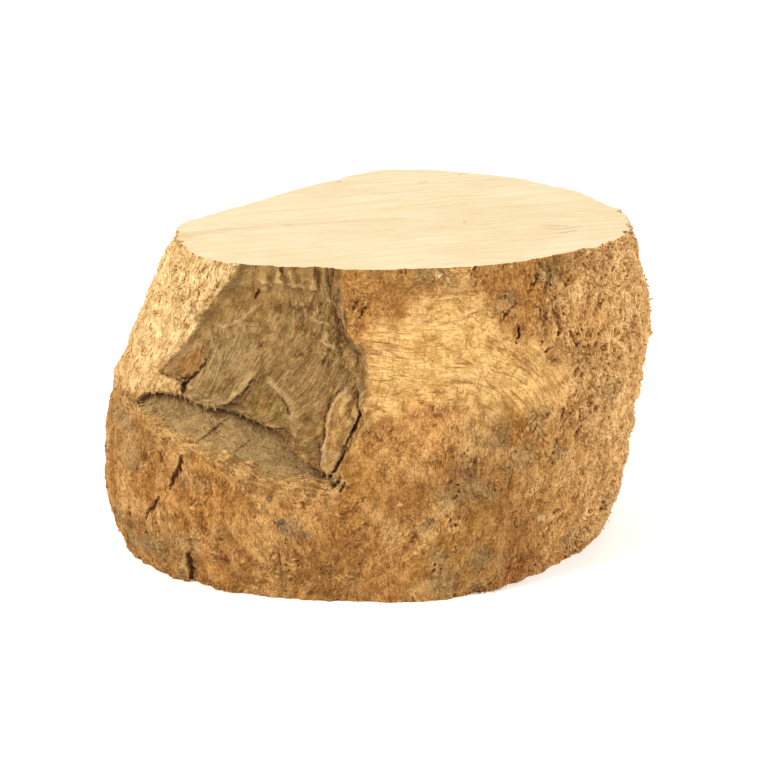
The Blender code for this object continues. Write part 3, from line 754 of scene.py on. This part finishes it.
wood.use_nodes = True
tree = wood.node_tree
surface = tree.nodes["Principled BSDF"]
run = put(tree, "Attribute", attribute_name="grain").outputs["Vector"]
place = put(tree, "TexCoord").outputs["Object"]
split = zone(tree, "split")
patch = zone(tree, "patch")
thin_streak = streaks(tree, run, 0.00060, 0.0015)
arch_run = put(tree, "Attribute", attribute_name="arch_grain").outputs["Vector"]
arch_share = zone(tree, "arch")
long_share = maths(tree, "SUBTRACT", split, zone(tree, "flap", 0.9))
thin_streak = mixed(tree, long_share, thin_streak, streaks(tree, run, 0.00085, 0.0100))
thin_streak = mixed(tree, zone(tree, "left_flank"), thin_streak, streaks(tree, run, 0.00075, 0.0050))
thin_streak = mixed(tree, arch_share, thin_streak, streaks(tree, arch_run, 0.00080, 0.0090))
broad_streak = streaks(tree, run, 0.0019, 0.0044)
broad_streak = mixed(tree, arch_share, broad_streak, streaks(tree, arch_run, 0.0017, 0.0120))
mottle = spread(tree, cloud(tree, place, 0.0052, 4.0), 0.30, 0.70)
speck = spread(tree, cloud(tree, place, 0.0009, 2.0), 0.34, 0.66)
tone = weighed(tree, (thin_streak, 0.30), (broad_streak, 0.18), (mottle, 0.30), (speck, 0.22))
tone = spread(tree, tone, 0.22, 0.78)

# Each kind of surface has a darker and a lighter wood, and the streaks run between the two
blotch = spread(tree, cloud(tree, place, 0.021, 4.0), 0.40, 0.60)
dark = mixed(tree, blotch, paint("85561f"), paint("a3743a"))
light = mixed(tree, blotch, paint("b9843f"), paint("dba866"))
orange = spread(tree, cloud(tree, place, 0.030), 0.48, 0.64, 0.0, 0.6)
split_blotch = spread(tree, cloud(tree, place, 0.0130, 4.0), 0.50, 0.66, 0.0, 0.65)
split_fade = spread(tree, cloud(tree, place, 0.0080, 4.0), 0.46, 0.30, 0.0, 0.45)
for share, dark_code, light_code in (
    (orange, "8e561c", "cb8f47"),
    (zone(tree, "right_flank", 0.95), "b8823f", "fad090"),
    (zone(tree, "left_flank"), "c49657", "fcdc9e"),
    (patch, "bd8d48", "ecbf79"),
    (zone(tree, "brown", 0.8), "7f4f1e", "b27a3a"),
    (zone(tree, "pale", 0.52), "b27d3b", "e6b06b"),
    (zone(tree, "stain", 0.9), "8f6129", "b98543"),
    (zone(tree, "grey", 0.6), "7a623b", "b09260"),
    (split, "806030", "ab8652"),
    (times(tree, split, split_blotch), "76521f", "a2773d"),
    (times(tree, split, split_fade), "8b7344", "b39a69"),
    (zone(tree, "brown_sheet", 0.75), "7b5827", "a17c46"),
    (zone(tree, "grey_flake", 0.5), "82693d", "b39b6c"),
    (zone(tree, "lip", 0.6), "8f6634", "c99c60"),
    (zone(tree, "chunk", 0.9), "7c5120", "ac7c42"),
    (zone(tree, "flap"), "8a5f2b", "bd9153"),
    (zone(tree, "ledge"), "8d6e3f", "b9965f"),
    (zone(tree, "rim", 0.9), "8f642d", "d8ab6b"),
    (zone(tree, "moss", 0.50), "7d702c", "aa9a48"),
    (zone(tree, "knot", 0.60), "5c4f3c", "94826a"),
    (zone(tree, "chip"), "c9a468", "ecd2a2"),
    (zone(tree, "red"), "9a5722", "eaa55e"),
):
    dark = mixed(tree, share, dark, paint(dark_code))
    light = mixed(tree, share, light, paint(light_code))
colour = mixed(tree, tone, dark, light)
dash = spread(tree, streaks(tree, run, 0.0009, 0.0028), 0.80, 0.95)
dashed = spread(tree, cloud(tree, place, 0.011), 0.42, 0.60, 0.20, 0.80)
dashed = maths(tree, "ADD", dashed, zone(tree, "left_flank", 0.35))
smooth_wood = maths(tree, "ADD", split, arch_share)
dash = times(tree, dash, dashed, spread(tree, smooth_wood, 0.0, 1.0, 1.0, 0.30))
patch_line = times(tree, lines(tree, arch_run, 0.0050, 0.060, 0.030), arch_share, 0.8)
calm = maths(tree, "SUBTRACT", 1.0, zone(tree, "brown_sheet", 0.7))
split_line = times(tree, lines(tree, run, 0.0036, 0.026, 0.042), split, calm, 0.7)
skin_line = times(tree, lines(tree, run, 0.0034, 0.009, 0.034), 0.6)
line = maths(tree, "MAXIMUM", patch_line, maths(tree, "MAXIMUM", split_line, skin_line))
line = times(tree, line, spread(tree, cloud(tree, place, 0.0060), 0.40, 0.56, 0.15, 0.80))

# Dashes and lines darken the wood. Its hollows are darker, partly as dirt and partly as painted
# shade, and its crests get a painted highlight. Creases, pits and cracks get painted shade, and the
# painted shadow under the lip is darkest.
hollow_shade = spread(tree, zone(tree, "hollow"), 0.15, 1.20, 0.0, 0.65)
for share, code in ((dash, "a86f38"), (line, "9c6a38"), (hollow_shade, "a3733f")):
    colour = mixed(tree, share, colour, paint(code), "MULTIPLY")
crest_highlight = spread(tree, zone(tree, "hollow"), -0.30, -1.40, 0.0, 0.42)
colour = mixed(tree, crest_highlight, colour, paint("e8bf7a"))
for name, strength, code in (
    ("crease", 0.35, "a27242"), ("pit", 0.50, "84562a"), ("lip_shadow", 1.0, "5a4026"),
    ("crack_shade", 0.90, "6a4624"),
):
    colour = mixed(tree, zone(tree, name, strength), colour, paint(code), "MULTIPLY")
# The painted highlight along the step edges, the flap's edge and the lit edges
colour = mixed(tree, zone(tree, "edge_highlight", 0.45), colour, paint("d8b27a"))
feed(tree, surface.inputs["Base Color"], colour)
surface.inputs["Roughness"].default_value = 0.88
surface.inputs["Specular IOR Level"].default_value = 0.25
height = weighed(tree, (broad_streak, 1.2), (thin_streak, 1.0), (cloud(tree, place, 0.0010, 2.0), 1.6),
                 (line, -1.0), (dash, -1.0))
bump = put(tree, "Bump", {"Height": height, "Distance": 0.00034, "Strength": 1.0})
feed(tree, surface.inputs["Normal"], bump.outputs[0])


# The sawn ends. Fresh pale wood, planed smooth by the blade, with faint streaks of grain, a
# greyer line from the left corner, specks of bark, and four saw scores near the right edge.

end_wood.use_nodes = True
tree = end_wood.node_tree
surface = tree.nodes["Principled BSDF"]
place = put(tree, "TexCoord").outputs["Object"]

# A straight mark from one point to another, 1 on its line and 0 past its half width
sockets = {"Place": "Vector", "From": "Vector", "To": "Vector", "Half Width": "Float"}
drawn_mark, ins, outs = shader_group("drawn_mark", sockets, "Mark")


def vector(operation, first, second, output="Vector"):
    made = put(drawn_mark, "VectorMath", {0: first, 1: second}, operation=operation)
    return made.outputs[output]


whole = vector("SUBTRACT", ins.outputs["To"], ins.outputs["From"])
reached = vector("SUBTRACT", ins.outputs["Place"], ins.outputs["From"])
share = maths(drawn_mark, "DIVIDE", vector("DOT_PRODUCT", reached, whole, "Value"),
              vector("DOT_PRODUCT", whole, whole, "Value"))
share = maths(drawn_mark, "MINIMUM", maths(drawn_mark, "MAXIMUM", share, 0.0), 1.0)
nearest = put(drawn_mark, "VectorMath", {0: whole, "Scale": share}, operation="SCALE").outputs[0]
apart = vector("DISTANCE", reached, nearest, "Value")
feed(drawn_mark, outs.inputs["Mark"], spread(drawn_mark, apart, ins.outputs["Half Width"], 0.0))


def mark(start, end, half_width):
    sockets = {"Place": place, "From": (*start, saw_z), "To": (*end, saw_z), "Half Width": half_width}
    return put(tree, "Group", sockets, node_tree=drawn_mark).outputs["Mark"]


GRAIN_TURN = math.radians(-17)
shaken = put(tree, "TexNoise", {"Vector": place, "Scale": 22.0, "Detail": 1.0})
bent = put(tree, "VectorMath", {0: shaken.outputs["Color"], 1: (0.012, 0.012, 0)}, operation="MULTIPLY")
bent = put(tree, "VectorMath", {0: bent.outputs[0], 1: place}, operation="ADD").outputs[0]
turned = put(tree, "VectorRotate", {"Vector": bent, "Angle": GRAIN_TURN}, rotation_type="Z_AXIS")
swapped = put(tree, "SeparateXYZ", {0: turned.outputs[0]})
run = put(tree, "CombineXYZ", {"X": swapped.outputs["Y"], "Z": swapped.outputs["X"]}).outputs[0]
colour = mixed(tree, streaks(tree, run, 0.0034, 0.050), paint("cebc95"), paint("d6c9ab"))
duller = spread(tree, cloud(tree, place, 0.060, 3.0), 0.36, 0.64, 0.0, 0.45)
colour = mixed(tree, duller, colour, paint("c8b48c"))
fine = mixed(tree, streaks(tree, run, 0.0007, 0.012), paint("efe4d2"), paint("ffffff"))
colour = mixed(tree, 0.7, colour, fine, "MULTIPLY")
for start, end, half_width, strength, code in (
    ((-0.090, -0.026), (-0.068, -0.0150), 0.0050, 0.28, "b99a6a"),
    ((-0.068, -0.015), (-0.040, -0.0080), 0.0042, 0.26, "b29870"),
    ((-0.040, -0.008), (0.012, 0.0040), 0.0040, 0.26, "b59a6c"),
    ((-0.096, -0.020), (-0.084, -0.0270), 0.0060, 0.36, "c59a5c"),
    ((0.0400, 0.0830), (0.0520, 0.0960), 0.0011, 0.45, "a07c4a"),
    ((-0.0190, 0.0700), (-0.0182, 0.0706), 0.0012, 0.70, "8a5f34"),
    ((0.0200, 0.0680), (0.0240, 0.0700), 0.0010, 0.60, "a06c3a"),
    ((0.0392, -0.0030), (0.0400, -0.0026), 0.0010, 0.70, "8a5a30"),
    ((0.0265, -0.0085), (0.0305, -0.0100), 0.0007, 0.45, "a8794a"),
    ((0.0735, -0.0075), (0.0860, -0.0091), 0.0006, 0.65, "7d5f3a"),
    ((0.0748, -0.0135), (0.0820, -0.0102), 0.0005, 0.55, "8a6c46"),
    ((0.0783, -0.0155), (0.0922, -0.0102), 0.0005, 0.65, "7d6040"),
    ((0.0815, -0.0208), (0.0892, -0.0162), 0.0006, 0.65, "7d6040"),
):
    colour = mixed(tree, times(tree, mark(start, end, half_width), strength), colour, paint(code))
specks = put(tree, "TexVoronoi", {"Vector": place, "Scale": 75.0}).outputs["Distance"]
specks = times(tree, spread(tree, specks, 0.045, 0.025), 0.5)
colour = mixed(tree, specks, colour, paint("8a5d30"))
feed(tree, surface.inputs["Base Color"], colour)
surface.inputs["Roughness"].default_value = 0.7
surface.inputs["Specular IOR Level"].default_value = 0.25
scored = put(tree, "Bump", {"Height": fine, "Distance": 0.00006, "Strength": 0.6})
feed(tree, surface.inputs["Normal"], scored.outputs[0])

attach(skin, "root")
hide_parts("burl")


# The loose fibres. Torn shards of the same wood, still fast at one end, that lie all over the
# skin along its grain and stand up a little at their tips.

dice = np.random.default_rng(7)


def values_on(mesh, name):
    kept = mesh.attributes[name]
    wide = 3 if kept.data_type == "FLOAT_VECTOR" else 1
    flat = np.empty(len(mesh.vertices) * wide, np.float32)
    kept.data.foreach_get("vector" if wide == 3 else "value", flat)
    return flat.reshape(-1, 3) if wide == 3 else flat


def unit(vectors):
    return vectors / np.maximum(np.linalg.norm(vectors, axis=-1, keepdims=True), 1e-9)


def between(low, high, count):
    return dice.uniform(low, high, count)[:, None]


def picked(chance, count, again=False):
    """Points of the skin drawn by chance, none of them twice unless again is set."""
    return dice.choice(len(skin_points), count, replace=again, p=chance / chance.sum())


skin_points = points_of(skin_mesh, "co")
skin_normals = unit(points_of(skin_mesh, "normal"))
on_skin = {name: values_on(skin_mesh, name) for name in zones}
room = np.minimum(saw_z - skin_points[:, 2], skin_points[:, 2] - floor_z)
STRAND_STATIONS = (0.0, 0.35, 0.70)
POINTS_EACH = 3 * len(STRAND_STATIONS) + 1
ROOT_DEPTH = 0.0004
OFF_THE_SAW = 0.0001
STRAND_FACES = (
    (0, 2, 1), (0, 1, 4), (0, 4, 3), (1, 2, 5), (1, 5, 4), (2, 0, 3), (2, 3, 5), (3, 4, 7), (3, 7, 6),
    (4, 5, 8), (4, 8, 7), (5, 3, 6), (5, 6, 8), (6, 7, 9), (7, 8, 9), (8, 6, 9),
)


def strands(name, roots, way, length, width, lift, curl, tip_highlight, red=0.0):
    """Closed, tapering, curved bits of wood. Each starts just under the skin and is coloured as
    the skin is there, with a little painted shade at its root and a painted highlight towards its tip."""
    count = len(roots)
    out = skin_normals[roots]
    way = unit(way - out * np.einsum("ij,ij->i", way, out)[:, None])
    side = np.cross(out, way)
    start = skin_points[roots] - out * ROOT_DEPTH
    turn = dice.normal(0.0, 1.0, count)[:, None]
    corners = []
    for at in (*STRAND_STATIONS, 1.0):
        middle = start + way * length * at + out * (ROOT_DEPTH * min(at * 3, 1) + lift * at ** 1.6)
        middle += side * curl * length * turn * at ** 2
        if at == 1.0:
            corners.append(middle)
            break
        thick = 0.5 * width * (1 - 0.55 * at)
        for angle in (math.radians(90), math.radians(210), math.radians(330)):
            corners.append(middle + thick * (side * math.cos(angle) + 0.6 * out * math.sin(angle)))
    corners = np.stack(corners, axis=1)
    corners[:, :, 2] = np.clip(corners[:, :, 2], floor_z + OFF_THE_SAW, saw_z - OFF_THE_SAW)
    faces = [tuple(POINTS_EACH * i + k for k in face) for i in range(count) for face in STRAND_FACES]
    corners = corners.reshape(-1, 3)
    mesh = bpy.data.meshes.new(name)
    mesh.from_pydata(corners.tolist(), [], faces)
    for zone_name, values in on_skin.items():
        values = np.repeat(values[roots], POINTS_EACH, axis=0)
        if zone_name == "grain":
            values = values + corners - np.repeat(skin_points[roots], POINTS_EACH, axis=0)
        # A little painted shade at the root and a painted highlight growing to the tip, and none of the
        # skin's painted shade in cracks, pits, creases or under the lip
        if zone_name == "hollow":
            values = np.tile(np.repeat((0.3, 0.0, -0.5, -1.0), (3, 3, 3, 1)) * tip_highlight, count)
        if zone_name in ("crack_shade", "pit", "crease", "lip_shadow"):
            values = 0 * values
        if zone_name == "red":
            values = 0 * values + red
        keep_on(mesh, zone_name, values.astype(float))
    mesh.materials.append(wood)
    piece = bpy.data.objects.new(name, mesh)
    scene.collection.objects.link(piece)
    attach(piece, "root")
    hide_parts("burl")


SHARDS = 4200
chance = (room > 0.0016) * (1 - 0.9 * on_skin["patch"]) * (1 - 0.80 * on_skin["split"])
chance = chance * (1 - 0.9 * on_skin["ledge"]) * (1 - on_skin["crack_shade"]) * (0.5 + on_skin["right_flank"])
roots = picked(chance, SHARDS)
stray = 0.60 - 0.45 * on_skin["left_flank"][roots][:, None]
way = unit(on_skin["fibre_way"][roots] + stray * dice.normal(0, 1.0, (SHARDS, 3)))
way *= np.where(dice.random(SHARDS) < 0.5, 1, -1)[:, None]
rough_here = 0.6 + 0.9 * on_skin["right_flank"][roots][:, None]
strands("loose_fibres", roots, way, between(0.0010, 0.0026, SHARDS), between(0.0004, 0.0009, SHARDS),
        between(0.0001, 0.0008, SHARDS) * rough_here, 0.55, 0.7)


# The torn fringe. Longer fibres that hang from the lip over the notch and lie, pale and
# tangled, along the rim below it, where the missing wedge was pulled off.

FRINGE, LIP_FRINGE = 900, 130
chance = (on_skin["rim"] > 0.25) * on_skin["rim"] * (room > 0.002)
roots = picked(chance, FRINGE)
way = np.array((0.85, 0.0, -0.42)) + dice.normal(0, 0.28, (FRINGE, 3))
chance = (on_skin["lip"] > 0.25) * on_skin["lip"] * (room > 0.002)
lip_roots = picked(chance, LIP_FRINGE, again=True)
lip_way = np.array((0.15, 0.0, -1.0)) + dice.normal(0, 0.35, (LIP_FRINGE, 3))
both = FRINGE + LIP_FRINGE
strands("torn_fringe", np.concatenate([roots, lip_roots]), np.concatenate([way, lip_way]),
        between(0.0012, 0.0036, both), between(0.0004, 0.0011, both), between(0.0001, 0.0009, both),
        0.30, 1.0)


# The splinters. Stiff spikes of wood broken off short: at the flap's foot, along the right
# flank and the top edge, and one on the left flank. Smaller ones stand all round the outline.


def nearest_root(place):
    """The point of the skin that is nearest to this place."""
    return int(np.argmin(np.linalg.norm(skin_points - place, axis=1)))


SPLINTERS = (
    ((-0.0222, -0.0925, 0.0606), (-0.3, -0.5, -1.0), 0.0042),
    ((-0.0201, -0.0939, 0.0575), (0.4, -0.5, -1.0), 0.0046),
    ((-0.0175, -0.0953, 0.0553), (0.6, -0.4, -0.9), 0.0050),
    ((-0.0144, -0.0986, 0.0548), (0.5, -0.3, 0.8), 0.0038),
    ((-0.0166, -0.0941, 0.0612), (0.7, -0.2, -0.8), 0.0046),
    ((-0.0190, -0.0935, 0.0570), (-0.6, -0.4, -0.8), 0.0040),
    ((-0.0160, -0.0960, 0.0570), (-0.2, -0.4, -1.0), 0.0048),
    ((-0.0205, -0.0930, 0.0590), (0.8, -0.3, -0.3), 0.0036),
    ((0.1148, -0.0027, 0.1413), (1.0, 0.0, 0.6), 0.0030),
    ((0.1152, -0.0194, 0.1312), (0.8, -0.4, 0.5), 0.0028),
    ((0.1215, -0.0142, 0.0818), (1.0, -0.2, -0.4), 0.0032),
    ((0.1190, -0.0239, 0.0910), (1.0, -0.3, 0.2), 0.0026),
    ((0.1018, -0.0293, 0.0040), (1.0, -0.3, 0.4), 0.0036),
    ((0.0979, -0.0389, 0.0061), (1.0, -0.4, 0.1), 0.0034),
    ((0.1250, -0.0100, 0.1100), (1.0, 0.1, 0.3), 0.0030),
    ((-0.1124, -0.0056, 0.0943), (-1.0, -0.1, -0.2), 0.0040),
)
SPIKES = 520
edgeways = smooth_step(np.abs(skin_normals[:, 1] * 0.94 - skin_normals[:, 2] * 0.34), 0.45, 0.10)
chance = (room > 0.003) * (0.15 + edgeways) * (0.25 + 2.0 * on_skin["right_flank"]) * (1 - on_skin["split"])
chance = chance * (1 - on_skin["ledge"]) * (1 - 0.9 * on_skin["patch"])
roots = picked(chance, SPIKES)
way = dice.normal(0, 1.0, (SPIKES, 3))
named_roots = np.array([nearest_root(place) for place, _, _ in SPLINTERS])
named_way = np.array([direction for _, direction, _ in SPLINTERS])
named_length = np.array([reach for _, _, reach in SPLINTERS])[:, None]
named = len(SPLINTERS)
strands("splinters", np.concatenate([named_roots, roots]), np.concatenate([named_way, way]),
        np.concatenate([named_length, between(0.0006, 0.0016, SPIKES)]),
        np.concatenate([between(0.0010, 0.0017, named), between(0.0007, 0.0014, SPIKES)]),
        np.concatenate([0.45 * named_length, between(0.0007, 0.0016, SPIKES)]), 0.1, 0.8)


# The root hairs. Reddish brown threads, each as fine as a bristle and curled among the others,
# in two matted tufts at the foot, right of the middle, and a wide one round the left side.

HAIR_TUFTS = (
    ((0.0600, -0.0800, 0.0078), (0.0062, 0.0030, 0.0028), 170),
    ((0.0488, -0.0860, 0.0016), (0.0022, 0.0010, 0.0014), 40),
    ((-0.1085, -0.0300, 0.0190), (0.0050, 0.0250, 0.0035), 110),
)
tuft_roots = []
for middle, spread_out, hairs in HAIR_TUFTS:
    near = np.flatnonzero((np.abs(skin_points - middle) < spread_out).all(axis=1) & (room > 0.0006))
    tuft_roots.append(dice.choice(near, min(hairs, len(near)), replace=False))
roots = np.concatenate(tuft_roots)
count = len(roots)
strands("root_hairs", roots, dice.normal(0, 1.0, (count, 3)), between(0.0024, 0.0056, count),
        between(0.0008, 0.0013, count), between(0.0010, 0.0034, count), 0.9, 1.3, red=0.9)


# The frayed top edge. Thin shavings that the saw left hanging on the upper edge, mostly at the
# left corner, over the slabs and at the right.

FRAYS = 420
LEFT_FRAY_X, RIGHT_FRAY_X = -0.083, 0.088
edge_near = smooth_step(saw_z - skin_points[:, 2], 0.0042, 0.0010)
edge_near = edge_near * (room > 0.0007) * (np.abs(skin_normals[:, 2]) < 0.9)
busy = smooth_step(np.abs(skin_points[:, 0] - LEFT_FRAY_X), 0.020, 0.004)
busy = busy + smooth_step(np.abs(skin_points[:, 0] - RIGHT_FRAY_X), 0.034, 0.010)
chance = edge_near * (0.12 + busy)
roots = picked(chance, FRAYS)
way = dice.normal(0, 0.8, (FRAYS, 3)) + (0, 0, -0.3)
strands("frayed_edge", roots, way, between(0.0010, 0.0034, FRAYS), between(0.0003, 0.0008, FRAYS),
        between(0.0002, 0.0014, FRAYS), 0.5, 1.0)
